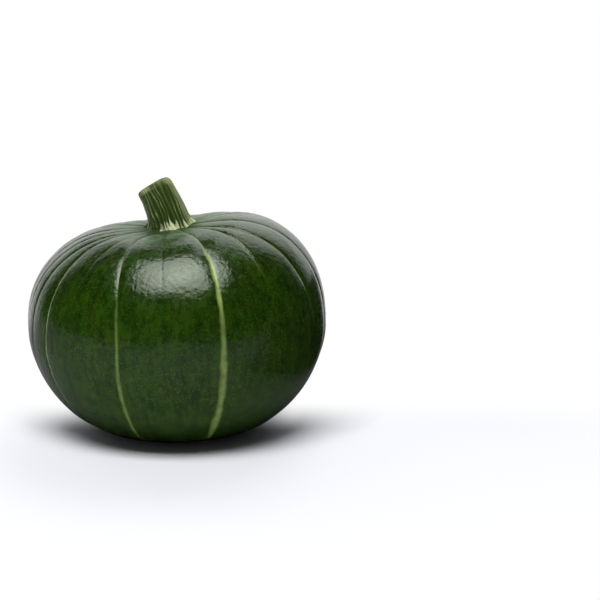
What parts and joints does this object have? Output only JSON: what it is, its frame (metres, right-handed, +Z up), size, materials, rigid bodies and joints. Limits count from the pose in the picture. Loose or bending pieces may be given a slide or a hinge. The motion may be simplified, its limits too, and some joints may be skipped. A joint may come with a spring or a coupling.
{
  "type": "kabocha squash",
  "caption": "Whole round green winter squash with shallow ribs and a short cut stem, as picked, resting on its flattened base.",
  "frame": {"origin": "the middle of the squash's outline, on the surface that it rests on", "axes": "+Z up through the crown, -Y towards the side that the picture shows, +X to the right of it"},
  "size_m": [0.1598, 0.1596, 0.1361],
  "materials": {
    "rind": "smooth glossy dark green squash rind, finely mottled, with thin pale green stripes in some grooves",
    "stem": "ribbed, half-dry green stalk with pale feet, a paler rim and a dark brown cut"
  },
  "bodies": {
    "root": {"fruit": "rind", "stem": "stem"}
  },
  "joints": []
}
